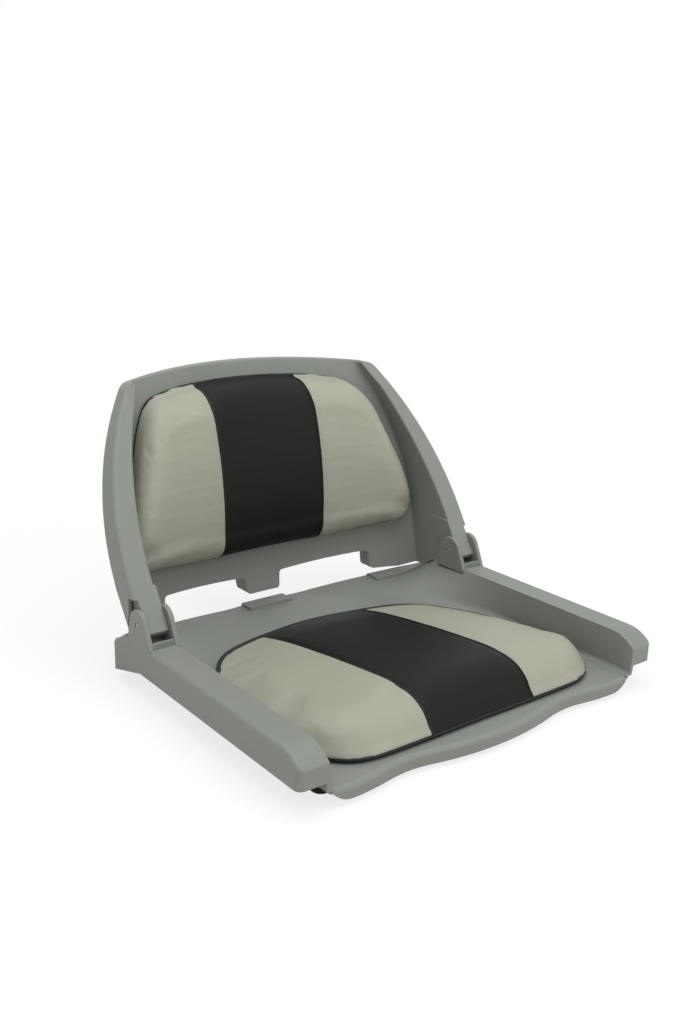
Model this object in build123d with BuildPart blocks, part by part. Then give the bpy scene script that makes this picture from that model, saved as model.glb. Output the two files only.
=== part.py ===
"""Folding boat seat: a moulded pan with arms, a moulded folding back and two upholstered pads.

The origin is the centre of the four mounting holes, on the flat mounting face under the pan.
+X is to the right seen from the front, the seat faces -Y and +Z is up. All sizes are in millimetres.
"""
import os
from math import atan2, cos, pi, sin, sqrt, tan

from build123d import *

os.makedirs("parts", exist_ok=True)

# Clearances and the overrun of cuts
overrun = 40.0
pad_gap = 0.3
stop_gap = 0.3
running_gap = 0.05
side_gap = 0.5

# Walls of the mouldings
moulding_wall = 4.0
rib_wall = 3.0

# Pan: plan and heights
pan_half_width = 255.0
arm_width = 34.5
arm_top = 66.0
arm_skirt_bottom = 31.0
arm_front = -185.5
arm_nose_length = 33.5
arm_nose_radius = 46.0
arm_nose_turn = 60.0
arm_corner_round = 8.0
arm_edge_round = 5.0
rim_corner_y = 184.0
rim_centre_y = 258.5
lip_bottom = 4.5
lip_round = 6.0
lip_reach = 7.5
lip_bay_start_x = 88.0
lip_bay_start_in = 10.5
lip_bay_end_x = 142.0
lip_bay_end_in = 12.0
lip_end_in = 8.5
lip_rise_start_x = 190.0
lip_joint_y = -162.0
tub_floor_top = 20.0
tub_rear_floor_top = 17.0
tub_half_width = 220.5
tub_corner_round = 6.0
rim_pad_height = 3.8
rim_pad_depth = 24.0
centre_pad_half_width = 33.0
outer_pad_start_x = 160.0

# Key stations of the tub from front to rear: place along the pan, half width of the floor,
# end of the wall line (x, z) and rounding between floor and wall
tub_station_shares = [
    (-0.09, 0.992, 1.003, 1.30, 1.0),
    (0.37, 0.992, 1.003, 1.30, 1.0),
    (0.51, 0.955, 1.015, 1.30, 2.2),
    (0.63, 0.862, 1.062, 1.30, 4.0),
    (0.78, 0.690, 1.200, 1.18, 10.0),
    (0.85, 0.565, 1.300, 0.83, 18.0),
    (0.93, 0.363, 1.320, 0.72, 24.0),
    (1.06, 0.136, 1.320, 0.58, 24.0),
]
tub_station_count = 24
tub_lid_share = 1.5
floor_fall_start_share = 0.68

# Arm ends at the rear, seen from the side
arm_fall_start_y = 157.0
arm_fall_end_y = 178.0
arm_fall_end_z = 53.0
rim_lowest_z = 20.5
arm_fall_round = 10.0
skirt_rise_start_y = 119.0
skirt_corner_z = 13.0

# Mounting bosses, ribs and feet
bolt_spacing = 127.0
boss_radius = 12.0
insert_radius = 5.5
insert_bore_radius = 3.175
insert_length = 12.7
rib_foot_z = 2.0
rib_reach_x = 176.0
rib_reach_y = 150.0
foot_x = 200.0
foot_front_y = -146.0
foot_rear_x = 150.0
foot_rear_y = 128.0
foot_radius = 12.0
foot_bottom = -2.0
foot_height = 9.0
foot_edge_round = 2.0
foot_stem_radius = 4.0
foot_stem_length = 6.0
foot_boss_radius = 9.0

# Hinge
pin_y = 124.0
pin_z = 87.0
pin_radius = 3.5
pin_chamfer = 0.8
pin_recess = 0.6
ear_radius = 18.0
ear_thickness = 6.0
ear_front_y = 95.0
ear_rear_y = 147.0
ear_edge_round = 1.5
ear_web_height = 6.0
ear_web_depth = 5.0
lug_radius = 16.0
lug_top_z = 124.0
lug_top_depth = 32.0
bush_wall = 1.5
ear_clearance = 1.5
ear_recess_top_z = 114.0

# Back: stiles, seen from the front and from the side
stile_foot_y = 135.0
stile_foot_z = 120.5
stile_lean = 0.63
back_half_width = 255.0
back_widest_z = 128.0
back_top_z = 336.0
back_corner_x = 186.0
back_corner_z = 326.8
back_corner_round = 20.0
back_edge_round = 5.0
ridge_x = 225.0
ridge_widest_z = 125.0
ridge_corner_x = 176.0
ridge_corner_z = 318.8
ridge_open_in = 27.0
ridge_round = 2.5
shoulder_x = 190.0
shoulder_slope = 0.42
shoulder_step = 6.0
flange_rear_y = 171.0
flange_rear_z = 115.0
flange_lean = 0.52
flange_foot_y = 143.0
flange_foot_z = 76.0
flange_inner_x = 205.0

# Back: panel, lower rail and tab
panel_y = 258.0
panel_z = 56.0
panel_lean = 0.22
panel_bow_radius = 465.0
panel_corner_round = 5.0
rail_rear_y = 284.0
rail_rear_z = 50.0
rail_rear_lean = 0.165
rail_rear_bow_radius = 390.0
tab_half_width = 25.0
tab_bottom_z = 33.0
notch_inner_x = 28.0
notch_inner_z = 56.0
notch_outer_x = 162.0
notch_outer_z = 67.0
notch_round = 5.0
wing_inner_z = 41.0
wing_bend_x = 201.0
wing_bend_z = 42.0
wing_end_x = 235.0
wing_end_z = 50.0

# Seat pad
cover_thickness = 2.0
seat_board_thickness = 6.0
seat_pad_front = -169.5
seat_pad_rear = 157.5
seat_pad_half_width = 217.5
seat_pad_rise = 41.3
seat_pad_crown = 4.0
seat_pad_edge = 4.0
seat_pad_draw_in = 4.0
seat_seam_rear_x = 80.0
seat_seam_front_x = 73.5
seam_width = 3.0
seam_height = 0.8
# Sections of the seat pad from its middle to its side: place across, front and rear drawn in
# along the pad, height and length of the front nose
seat_pad_shares = [
    (0.0, 0.000, 0.000, 1.02, 0.156),
    (0.348, -0.002, 0.026, 1.00, 0.156),
    (0.632, 0.000, 0.081, 0.95, 0.150),
    (0.755, 0.014, 0.151, 0.88, 0.145),
    (0.847, 0.054, 0.243, 0.78, 0.135),
    (0.920, 0.112, 0.350, 0.62, 0.120),
    (0.970, 0.178, 0.512, 0.42, 0.080),
    (1.0, 0.235, 0.665, 0.15, 0.025),
]
nose_mid_share = 0.31
nose_rise_share = 0.78
seat_pad_foot_share = 0.125
pad_station_count = 12

# Back pad
back_board_thickness = 6.0
back_pad_bottom = 92.0
back_pad_top = 318.0
back_pad_half_width = 218.5
back_pad_depth = 54.0
back_pad_foot_depth = 43.0
back_pad_head_depth = 52.0
back_pad_edge_depth = 15.0
back_pad_foot_nose = 34.0
back_pad_head_nose = 36.0
back_seam_x = 76.0
# Sections of the back pad from its middle to its side: place across, bottom and top drawn in
# along the pad, depth and length of the noses
back_pad_shares = [
    (0.0, 0.000, 0.000, 1.00, 1.0),
    (0.348, 0.004, 0.009, 1.00, 1.0),
    (0.540, 0.018, 0.027, 0.96, 1.0),
    (0.668, 0.029, 0.053, 0.92, 1.0),
    (0.732, 0.035, 0.088, 0.89, 1.0),
    (0.792, 0.044, 0.181, 0.86, 0.95),
    (0.860, 0.053, 0.345, 0.80, 0.80),
    (0.929, 0.075, 0.527, 0.68, 0.60),
    (0.970, 0.106, 0.650, 0.52, 0.42),
    (1.0, 0.150, 0.765, 0.32, 0.18),
]

# Fasteners of the pads
screw_radius = 3.0
screw_head_radius = 6.5
screw_head = 3.2
tnut_radius = 4.2
tnut_flange_radius = 9.0
tnut_flange = 1.4
screw_gap = 0.3
seat_screw_x = 110.0
seat_screw_front_y = -95.0
seat_screw_rear_y = 84.0
back_screw_x = 110.0
back_screw_low_z = 135.0
back_screw_high_z = 262.0

# Sizes worked out from those above
pan_width = 2 * pan_half_width
skirt_inner_x = tub_half_width + moulding_wall + side_gap
pan_length = rim_centre_y - arm_front
ear_outer_x = pan_half_width - ear_thickness
ear_inner_x = pan_half_width - arm_width - ear_thickness + moulding_wall / 2
lug_inner_x = ear_inner_x + ear_thickness + side_gap
lug_outer_x = ear_outer_x - side_gap
bush_radius = pin_radius + running_gap + bush_wall
pad_floor = tub_floor_top + pad_gap
sides = (-1, 1)


def sag(radius, x):
    """Depth of a circle's bow at a distance x from its middle."""
    return radius - sqrt(radius**2 - x**2)


def pan_outline(inset, height):
    """Outline of the pan in plan without its lip, at a height, drawn in by a wall."""
    front_y = arm_front + inset
    half = pan_half_width - inset
    with BuildSketch(Plane.XY.offset(height)) as outline:
        with BuildLine():
            Polyline(
                (-half, rim_corner_y - inset),
                (-half, front_y),
                (half, front_y),
                (half, rim_corner_y - inset),
            )
            ThreePointArc(
                (-half, rim_corner_y - inset),
                (0, rim_centre_y - inset),
                (half, rim_corner_y - inset),
            )
        make_face()
        fillet(outline.vertices(), arm_corner_round - inset)
    return outline.sketch


def lip_outline(inset, height):
    """Outline of the waved front lip in plan at a height, drawn in by a wall."""
    front_y = arm_front - lip_reach + inset
    half = tub_half_width - inset
    with BuildSketch(Plane.XY.offset(height)) as outline:
        with BuildLine():
            nose = TangentArc(
                (0, front_y), (lip_bay_start_x, front_y + lip_bay_start_in), tangent=(1, 0)
            )
            bay = TangentArc(
                nose @ 1, (lip_bay_end_x, front_y + lip_bay_end_in), tangent=nose % 1
            )
            lobe = TangentArc(bay @ 1, (half, front_y + lip_end_in), tangent=bay % 1)
            Polyline(lobe @ 1, (half, lip_joint_y), (0, lip_joint_y), nose @ 0)
        make_face()
        mirror(about=Plane.YZ)
    return outline.sketch


def arm_side(drop):
    """Profile of the pan seen from the side, its top lowered by a wall."""
    top = arm_top - drop
    front_y = arm_front + drop
    nose_y = front_y + arm_nose_length
    fall_y = arm_fall_start_y - drop / 2
    fall_end_y = arm_fall_end_y - drop / 2
    rear = rim_centre_y + overrun
    slope = (arm_fall_end_z - rim_lowest_z) / (rim_centre_y - arm_fall_end_y)
    rear_z = arm_fall_end_z - drop - slope * (rear - arm_fall_end_y)
    with BuildSketch(Plane.YZ.offset(-pan_half_width - overrun)) as profile:
        with BuildLine():
            nose = JernArc((nose_y, top), (-1, 0), arm_nose_radius, arm_nose_turn)
            Line((nose_y, top), (fall_y - arm_fall_round, top))
            FilletPolyline(
                (fall_y - arm_fall_round, top),
                (fall_y, top),
                (fall_end_y, arm_fall_end_z - drop),
                (rear, rear_z),
                radius=arm_fall_round,
            )
            Polyline(
                (rear, rear_z),
                (rear, -overrun),
                (front_y - overrun, -overrun),
                (front_y - overrun, (nose @ 1).Y),
                nose @ 1,
            )
        make_face()
    return profile.sketch


def tub_station(place):
    """Shares of the tub's section at a place along the pan, eased between the key stations."""
    keys = tub_station_shares
    index = 0
    while index < len(keys) - 2 and place > keys[index + 1][0]:
        index += 1
    before = keys[max(index - 1, 0)]
    here = keys[index]
    there = keys[index + 1]
    after = keys[min(index + 2, len(keys) - 1)]
    span = there[0] - here[0]
    t = (place - here[0]) / span
    values = []
    for item in range(1, len(here)):
        start_slope = (there[item] - before[item]) / (there[0] - before[0]) * span
        end_slope = (after[item] - here[item]) / (after[0] - here[0]) * span
        values.append(
            (2 * t**3 - 3 * t**2 + 1) * here[item]
            + (t**3 - 2 * t**2 + t) * start_slope
            + (3 * t**2 - 2 * t**3) * there[item]
            + (t**3 - t**2) * end_slope
        )
    return values


def tub(grow, lift):
    """Space inside the tub, open at the top: grown by a wall on all sides and lifted."""
    first = tub_station_shares[0][0]
    last = tub_station_shares[-1][0]
    with BuildPart() as space:
        for step in range(tub_station_count):
            y_share = first + (last - first) * step / (tub_station_count - 1)
            floor_share, end_x_share, end_z_share, round_share = tub_station(y_share)
            fall = (y_share - floor_fall_start_share) / (1 - floor_fall_start_share)
            fall = min(1, max(0, fall))
            floor = tub_floor_top - fall**2 * (tub_floor_top - tub_rear_floor_top) + lift
            foot = floor_share * tub_half_width
            end_x = end_x_share * tub_half_width
            end_z = end_z_share * arm_top + lift
            slope = atan2(end_z - floor, end_x - foot)
            lid = tub_lid_share * arm_top
            foot += grow * tan(slope / 2)
            floor -= grow
            end_x += grow * sin(slope)
            end_z -= grow * cos(slope)
            with BuildSketch(Plane.XZ.offset(-arm_front - y_share * pan_length)) as section:
                with BuildLine():
                    Polyline(
                        (-end_x, lid),
                        (-end_x, end_z),
                        (-foot, floor),
                        (foot, floor),
                        (end_x, end_z),
                        (end_x, lid),
                        close=True,
                    )
                make_face()
                feet = section.vertices().group_by(Axis.Y)[0]
                fillet(feet, round_share * tub_corner_round + grow)
        loft()
    return space.part


tub_space = tub(0, 0)
tub_above_pads = tub(0, rim_pad_height)
tub_shell = tub(moulding_wall, 0)

# Rear band between the raised pads of the rim, taken down to the tub's own surface
with BuildPart() as rim_lows:
    with BuildSketch(Plane.XY) as low_plan:
        with BuildLine():
            inner_y = rim_centre_y - rim_pad_depth
            Line((-pan_half_width, rim_corner_y - rim_pad_depth), (-pan_half_width, arm_front - overrun))
            Line((-pan_half_width, arm_front - overrun), (pan_half_width, arm_front - overrun))
            Line((pan_half_width, arm_front - overrun), (pan_half_width, rim_corner_y - rim_pad_depth))
            ThreePointArc(
                (-pan_half_width, rim_corner_y - rim_pad_depth),
                (0, inner_y),
                (pan_half_width, rim_corner_y - rim_pad_depth),
            )
        make_face()
        low_width = outer_pad_start_x - centre_pad_half_width
        for side in sides:
            with Locations((side * (outer_pad_start_x + centre_pad_half_width) / 2, inner_y)):
                Rectangle(low_width, pan_length / 2)
    extrude(amount=tub_lid_share * arm_top + overrun)
    add(tub_space, mode=Mode.INTERSECT)

def side_block(points, x_from, x_to):
    """Solid with a profile of (y, z) points, from one x to another."""
    with BuildPart() as block:
        with BuildSketch(Plane.YZ.offset(x_from)):
            with BuildLine():
                Polyline(*points, close=True)
            make_face()
        extrude(amount=x_to - x_from)
    return block.part


def front_block(points, y_from, y_to):
    """Solid with a profile of (x, z) points, from one y to another."""
    with BuildPart() as block:
        with BuildSketch(Plane.XZ.offset(-y_to)):
            with BuildLine():
                Polyline(*points, close=True)
            make_face()
        extrude(amount=y_to - y_from)
    return block.part


def ear(x_from, x_to):
    """One ear of a hinge fork, from one x to another."""
    with BuildPart() as plate:
        with BuildSketch(Plane.YZ.offset(x_from)):
            with Locations((pin_y, pin_z)):
                Circle(ear_radius)
            with Locations(((ear_front_y + ear_rear_y) / 2, arm_top - moulding_wall / 2)):
                Rectangle(ear_rear_y - ear_front_y, moulding_wall)
            make_hull()
        extrude(amount=x_to - x_from)
        rim = plate.edges().filter_by(Axis.X, reverse=True).filter_by(lambda e: e.center().Z > arm_top)
        fillet(rim, ear_edge_round)
    return plate.part


def pin_rod(x_from, x_to, radius):
    """Round rod on the hinge axis, from one x to another."""
    with BuildPart() as rod:
        with BuildSketch(Plane.YZ.offset(x_from)):
            with Locations((pin_y, pin_z)):
                Circle(radius)
        extrude(amount=x_to - x_from)
    return rod.part


def span(side, x_from, x_to):
    """The same stretch of x on either side, lowest first."""
    return sorted((side * x_from, side * x_to))


# Strip under the front of the tub, which the lip fills
lip_strip = side_block(
    [
        (arm_front - overrun, -overrun),
        (arm_front - overrun, tub_floor_top),
        (lip_joint_y, tub_floor_top),
        (lip_joint_y, -overrun),
    ],
    -tub_half_width,
    tub_half_width,
)

# Hollow under the tub and the arms, one wall inside the outline
with BuildPart() as pan_hollow:
    extrude(pan_outline(moulding_wall, -overrun), amount=arm_top + overrun)
    extrude(arm_side(moulding_wall), amount=pan_width + 2 * overrun, mode=Mode.INTERSECT)
    add(tub_shell, mode=Mode.SUBTRACT)
    add(lip_strip, mode=Mode.SUBTRACT)

# Space below the arms' skirts and beside the lip, outside the tub's wall
skirt_points = [
    (arm_front - overrun, -overrun),
    (arm_front - overrun, arm_skirt_bottom),
    (skirt_rise_start_y, arm_skirt_bottom),
    (rim_corner_y, skirt_corner_z),
    (rim_corner_y + rim_pad_depth, lip_bottom),
    (rim_corner_y + rim_pad_depth, -overrun),
]
with BuildPart() as skirt_space:
    for side in sides:
        add(side_block(skirt_points, *span(side, skirt_inner_x, pan_width)))
        # The lip's ends turn up in an arc
        with BuildSketch(Plane.XZ.offset(-arm_front - overrun)):
            with BuildLine():
                rise_start = (side * lip_rise_start_x, lip_bottom)
                rise_end = (side * tub_half_width, arm_skirt_bottom)
                TangentArc(rise_start, rise_end, tangent=(side, 0))
                Polyline(
                    rise_end,
                    (side * pan_width, arm_skirt_bottom),
                    (side * pan_width, -overrun),
                    (side * lip_rise_start_x, -overrun),
                    rise_start,
                )
            make_face()
        extrude(amount=2 * overrun)
    add(tub_shell, mode=Mode.SUBTRACT)

ears = []
for side in sides:
    for x_from in (ear_inner_x, ear_outer_x):
        ears.append(ear(*span(side, x_from, x_from + ear_thickness)))
hinge_line = pin_rod(-pan_width, pan_width, pin_radius)
foot_places = [(side * foot_x, foot_front_y) for side in sides]
foot_places += [(side * foot_rear_x, foot_rear_y) for side in sides]
seat_screw_places = [
    (side * seat_screw_x, y) for side in sides for y in (seat_screw_front_y, seat_screw_rear_y)
]

# Front lip, rolled over its waved edge
with BuildPart() as lip_block:
    extrude(lip_outline(0, lip_bottom), amount=tub_floor_top - lip_bottom)
    lip_edges = lip_block.edges().filter_by(GeomType.CIRCLE).group_by(Axis.Z)[-1]
    fillet(lip_edges, lip_round)
lip = lip_block.part

with BuildPart() as seat_pan:
    extrude(pan_outline(0, lip_bottom), amount=arm_top - lip_bottom)
    extrude(arm_side(0), amount=pan_width + 2 * overrun, mode=Mode.INTERSECT)
    # Tub with the raised pads of its rim
    add(tub_above_pads, mode=Mode.SUBTRACT)
    add(rim_lows, mode=Mode.SUBTRACT)
    # Rounded edges of the arms
    side_faces = seat_pan.faces().filter_by(Axis.X).sort_by(Axis.X)
    top_edges = ShapeList()
    for face in (side_faces[0], side_faces[-1]):
        top_edges += face.edges().filter_by(lambda e: e.center().Z > arm_skirt_bottom + arm_edge_round)
    fillet(top_edges, arm_edge_round)
    # Lip in place of the strip under the tub's front
    add(lip_strip, mode=Mode.SUBTRACT)
    add(lip)
    add(pan_hollow, mode=Mode.SUBTRACT)
    lip_hollow = lip_outline(moulding_wall, -overrun)
    extrude(lip_hollow, amount=tub_floor_top - moulding_wall + overrun, mode=Mode.SUBTRACT)
    add(skirt_space.part, mode=Mode.SUBTRACT)
    # Ears of the hinge forks and the low web between them
    for plate in ears:
        add(plate)
    for side in sides:
        low, high = span(side, ear_inner_x + ear_thickness / 2, ear_outer_x + ear_thickness / 2)
        web_centre = (
            (low + high) / 2,
            ear_front_y + ear_web_depth,
            arm_top + (ear_web_height - moulding_wall) / 2,
        )
        with Locations(web_centre):
            Box(high - low, ear_web_depth, ear_web_height + moulding_wall)
    add(hinge_line, mode=Mode.SUBTRACT)
    # Mounting bosses and the ribs between them
    boss_top = tub_floor_top - rib_wall / 2
    with BuildSketch(Plane.XY):
        with GridLocations(bolt_spacing, bolt_spacing, 2, 2):
            Circle(boss_radius)
    extrude(amount=boss_top)
    with BuildSketch(Plane.XY.offset(rib_foot_z)):
        with GridLocations(bolt_spacing, bolt_spacing, 2, 2):
            Rectangle(rib_wall, boss_radius)
        with GridLocations(0, bolt_spacing, 1, 2):
            Rectangle(2 * rib_reach_x, rib_wall)
        with GridLocations(bolt_spacing, 0, 2, 1):
            Rectangle(rib_wall, 2 * rib_reach_y)
    extrude(amount=boss_top - rib_foot_z)
    with BuildSketch(Plane.XY.offset(foot_bottom + foot_height)):
        with Locations(*foot_places):
            Circle(foot_boss_radius)
    extrude(amount=boss_top - foot_bottom - foot_height)
    # Bores for inserts, feet and the pad's screws
    with BuildSketch(Plane.XY):
        with GridLocations(bolt_spacing, bolt_spacing, 2, 2):
            Circle(insert_radius)
    extrude(amount=insert_length, mode=Mode.SUBTRACT)
    with BuildSketch(Plane.XY.offset(foot_bottom + foot_height)):
        with Locations(*foot_places):
            Circle(foot_stem_radius)
    extrude(amount=foot_stem_length, mode=Mode.SUBTRACT)
    with BuildSketch(Plane.XY.offset(-overrun)):
        with Locations(*seat_screw_places):
            Circle(screw_radius + screw_gap)
    extrude(amount=2 * overrun, mode=Mode.SUBTRACT)

seat_pan.part.label = "seat_pan"
export_step(seat_pan.part, "parts/seat_pan.step")

with BuildPart() as mount_inserts:
    with BuildSketch(Plane.XY):
        with GridLocations(bolt_spacing, bolt_spacing, 2, 2):
            Circle(insert_radius)
            Circle(insert_bore_radius, mode=Mode.SUBTRACT)
    extrude(amount=insert_length)
mount_inserts.part.label = "mount_inserts"
export_step(mount_inserts.part, "parts/mount_inserts.step")

with BuildPart() as rubber_feet:
    with BuildSketch(Plane.XY.offset(foot_bottom)):
        with Locations(*foot_places):
            Circle(foot_radius)
    extrude(amount=foot_height)
    chamfer(rubber_feet.edges().group_by(Axis.Z)[0], foot_edge_round)
    with BuildSketch(Plane.XY.offset(foot_bottom + foot_height)):
        with Locations(*foot_places):
            Circle(foot_stem_radius)
    extrude(amount=foot_stem_length)
rubber_feet.part.label = "rubber_feet"
export_step(rubber_feet.part, "parts/rubber_feet.step")

# Hinge pins, pressed into the ears, and the bushes that turn on them
for side in sides:
    name = "left" if side < 0 else "right"
    with BuildPart() as hinge_pin:
        low, high = span(side, ear_inner_x + pin_recess, pan_half_width - pin_recess)
        add(pin_rod(low, high, pin_radius))
        chamfer(hinge_pin.edges(), pin_chamfer)
    hinge_pin.part.label = f"hinge_pin_{name}"
    export_step(hinge_pin.part, f"parts/hinge_pin_{name}.step")
    with BuildPart() as hinge_bush:
        low, high = span(side, lug_inner_x, lug_outer_x)
        add(pin_rod(low, high, bush_radius))
        add(pin_rod(low, high, pin_radius + running_gap), mode=Mode.SUBTRACT)
    hinge_bush.part.label = f"hinge_bush_{name}"
    export_step(hinge_bush.part, f"parts/hinge_bush_{name}.step")


def behind(y, z, lean, bow_radius, half):
    """Space behind a bowed, leaning surface through a height z at y, out to a half width."""
    base_y = y - lean * z
    edge_y = base_y - sag(bow_radius, half)
    far_y = base_y + back_top_z
    with BuildPart() as space:
        with BuildSketch(Plane.XY):
            with BuildLine():
                ThreePointArc((-half, edge_y), (0, base_y), (half, edge_y))
                Polyline((half, edge_y), (half, far_y), (-half, far_y), (-half, edge_y))
            make_face()
        extrude(amount=(back_top_z + overrun) * sqrt(1 + lean**2), dir=(0, lean, 1))
    return space.part


def panel_behind(move):
    """Space behind the panel's front surface, moved along Y."""
    return behind(panel_y + move, panel_z, panel_lean, panel_bow_radius, pan_half_width + overrun)


def frame_outline(y, inset):
    """Outline of the folding back seen from the front on the plane of a y, drawn in by a wall."""
    with BuildSketch(Plane.XZ.offset(-y)) as outline:
        with BuildLine():
            half = back_half_width - inset
            shoulder = (back_corner_x - inset, back_corner_z - inset)
            tab_corner = (tab_half_width - inset, tab_bottom_z + inset)
            notch_inner = (notch_inner_x - inset, notch_inner_z + inset)
            notch_outer = (notch_outer_x + inset, notch_outer_z + inset)
            wing_inner = (notch_outer_x + inset, wing_inner_z + inset)
            side = TangentArc((half, back_widest_z), shoulder, tangent=(0, 1))
            top = TangentArc((0, back_top_z - inset), shoulder, tangent=(1, 0))
            Polyline(
                top @ 0,
                (0, tab_bottom_z + inset),
                tab_corner,
                notch_inner,
                notch_outer,
                wing_inner,
                (wing_bend_x, wing_bend_z + inset),
                (wing_end_x, wing_end_z + inset),
                (half, flange_foot_z + inset),
                side @ 0,
            )
        make_face()
        fillet(outline.vertices().sort_by_distance(shoulder)[0], back_corner_round - inset)
        notch_corners = ShapeList()
        for corner in (tab_corner, notch_inner, notch_outer, wing_inner):
            notch_corners += outline.vertices().sort_by_distance(corner)[:1]
        fillet(notch_corners, notch_round)
        mirror(about=Plane.YZ)
    return outline.sketch


def ridge_outline(y, grow):
    """Outline of the scoop inside the stiles, open at the top and grown by a wall."""
    with BuildSketch(Plane.XZ.offset(-y)) as outline:
        with BuildLine():
            corner = (ridge_corner_x + grow, ridge_corner_z + grow)
            side = TangentArc((ridge_x + grow, ridge_widest_z), corner, tangent=(0, 1))
            lid_z = back_top_z + overrun
            top = Polyline((0, lid_z), (corner[0] - ridge_open_in, lid_z), corner)
            Polyline(top @ 0, (0, -overrun), (ridge_x + grow, -overrun), side @ 0)
        make_face()
        mirror(about=Plane.YZ)
    return outline.sketch


scoop_rear = panel_y + panel_lean * back_top_z + overrun
scoop_depth = scoop_rear - ear_front_y + overrun

# Scoop cut into the back down to the panel
with BuildPart() as scoop:
    extrude(ridge_outline(scoop_rear, 0), amount=scoop_depth)
    add(panel_behind(0), mode=Mode.SUBTRACT)
    fillet(scoop.edges().filter_by(GeomType.BSPLINE), panel_corner_round)

# Space that the scoop's wall and the panel may fill
with BuildPart() as scoop_shell:
    extrude(ridge_outline(scoop_rear, moulding_wall), amount=scoop_depth)
    add(panel_behind(moulding_wall), mode=Mode.SUBTRACT)
    shell_edges = scoop_shell.edges().filter_by(GeomType.BSPLINE)
    fillet(shell_edges, panel_corner_round + moulding_wall)


def stile_line(z, move):
    """Place along Y of the stiles' front plane at a height, moved square to the plane."""
    return stile_foot_y + stile_lean * (z - stile_foot_z) + move * sqrt(1 + stile_lean**2)


def flange_line(z):
    """Place along Y of the rear edge of the side flanges at a height."""
    return flange_rear_y + flange_lean * (z - flange_rear_z)


def shoulder_space(side, grow):
    """Space in front of one shoulder, where a stile turns into the top rail, grown by a wall."""
    middle_z = (back_widest_z + back_top_z) / 2
    slant = Plane(
        origin=(side * shoulder_x, stile_line(middle_z, grow), middle_z),
        x_dir=(0, stile_lean, 1),
        z_dir=(-side * shoulder_slope, -1, stile_lean),
    )
    with BuildPart() as space:
        with BuildSketch(slant):
            Rectangle(2 * pan_width, 2 * pan_width)
        extrude(amount=pan_width)
        split(bisect_by=Plane.YZ, keep=Keep.TOP if side > 0 else Keep.BOTTOM)
        add(panel_behind(grow - shoulder_step), mode=Mode.SUBTRACT)
    return space.part


lowest = -overrun
highest = back_top_z + overrun
far = scoop_rear + overrun
front_space = side_block(
    [
        (stile_line(lowest, 0), lowest),
        (stile_line(highest, 0), highest),
        (-far, highest),
        (-far, lowest),
    ],
    -pan_width,
    pan_width,
)
band_back = side_block(
    [
        (stile_line(lowest, moulding_wall), lowest),
        (stile_line(highest, moulding_wall), highest),
        (2 * far, highest),
        (2 * far, lowest),
    ],
    -pan_width,
    pan_width,
)
flange_points = [
    (flange_line(highest), highest),
    (flange_rear_y, flange_rear_z),
    (flange_foot_y, flange_foot_z),
    (flange_foot_y, lowest),
    (2 * far, lowest),
    (2 * far, highest),
]

# Space behind the back's flanges, and the hollow one wall inside the outline and the front band
with BuildPart() as rear_space:
    extrude(frame_outline(scoop_rear, moulding_wall), amount=scoop_depth)
    add(band_back, mode=Mode.INTERSECT)
    add(behind(rail_rear_y, rail_rear_z, rail_rear_lean, rail_rear_bow_radius, flange_inner_x))
    for side in sides:
        add(side_block(flange_points, *span(side, flange_inner_x, pan_width)))
    add(scoop_shell.part, mode=Mode.SUBTRACT)
    for side in sides:
        add(shoulder_space(side, moulding_wall), mode=Mode.SUBTRACT)

# Space kept clear of the back around the ears, and the lugs that turn between them
ear_spaces = []
lugs = []
for side in sides:
    low, high = span(side, ear_inner_x - side_gap, pan_width)
    with BuildPart() as ear_space:
        with BuildSketch(Plane.YZ.offset(low)):
            with Locations((pin_y, pin_z)):
                Circle(ear_radius + ear_clearance)
            foot_height = moulding_wall + ear_clearance
            with Locations(((ear_front_y + ear_rear_y) / 2, arm_top - foot_height / 2)):
                Rectangle(ear_rear_y - ear_front_y + 2 * ear_clearance, foot_height)
            make_hull()
            with Locations(((pin_y + ear_radius) / 2, ear_recess_top_z / 2)):
                Rectangle(pin_y + ear_radius, ear_recess_top_z)
        extrude(amount=high - low)
    ear_spaces.append(ear_space.part)
    low, high = span(side, lug_inner_x, lug_outer_x)
    with BuildPart() as lug:
        with BuildSketch(Plane.YZ.offset(low)):
            with Locations((pin_y, pin_z)):
                Circle(lug_radius)
            with Locations((stile_line(lug_top_z, 0) + lug_top_depth / 2, lug_top_z - moulding_wall / 2)):
                Rectangle(lug_top_depth, moulding_wall)
            make_hull()
        extrude(amount=high - low)
        add(front_space, mode=Mode.SUBTRACT)
    lugs.append(lug.part)

# The pan's rim and rear corners, with the small gap at which the back rests
with BuildPart() as rim_space:
    extrude(pan_outline(-stop_gap, -overrun), amount=arm_top + 2 * overrun)
    extrude(arm_side(-stop_gap), amount=pan_width + 2 * overrun, mode=Mode.INTERSECT)
    add(tub(-stop_gap, rim_pad_height), mode=Mode.SUBTRACT)

back_screw_planes = []
for side in sides:
    for z in (back_screw_low_z, back_screw_high_z):
        bow_slope = back_screw_x / sqrt(panel_bow_radius**2 - back_screw_x**2)
        y = panel_y + panel_lean * (z - panel_z) - sag(panel_bow_radius, back_screw_x)
        back_screw_planes.append(
            Plane(
                origin=(side * back_screw_x, y, z),
                x_dir=(0, panel_lean, 1),
                z_dir=(-side * bow_slope, -1, panel_lean),
            )
        )

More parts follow.
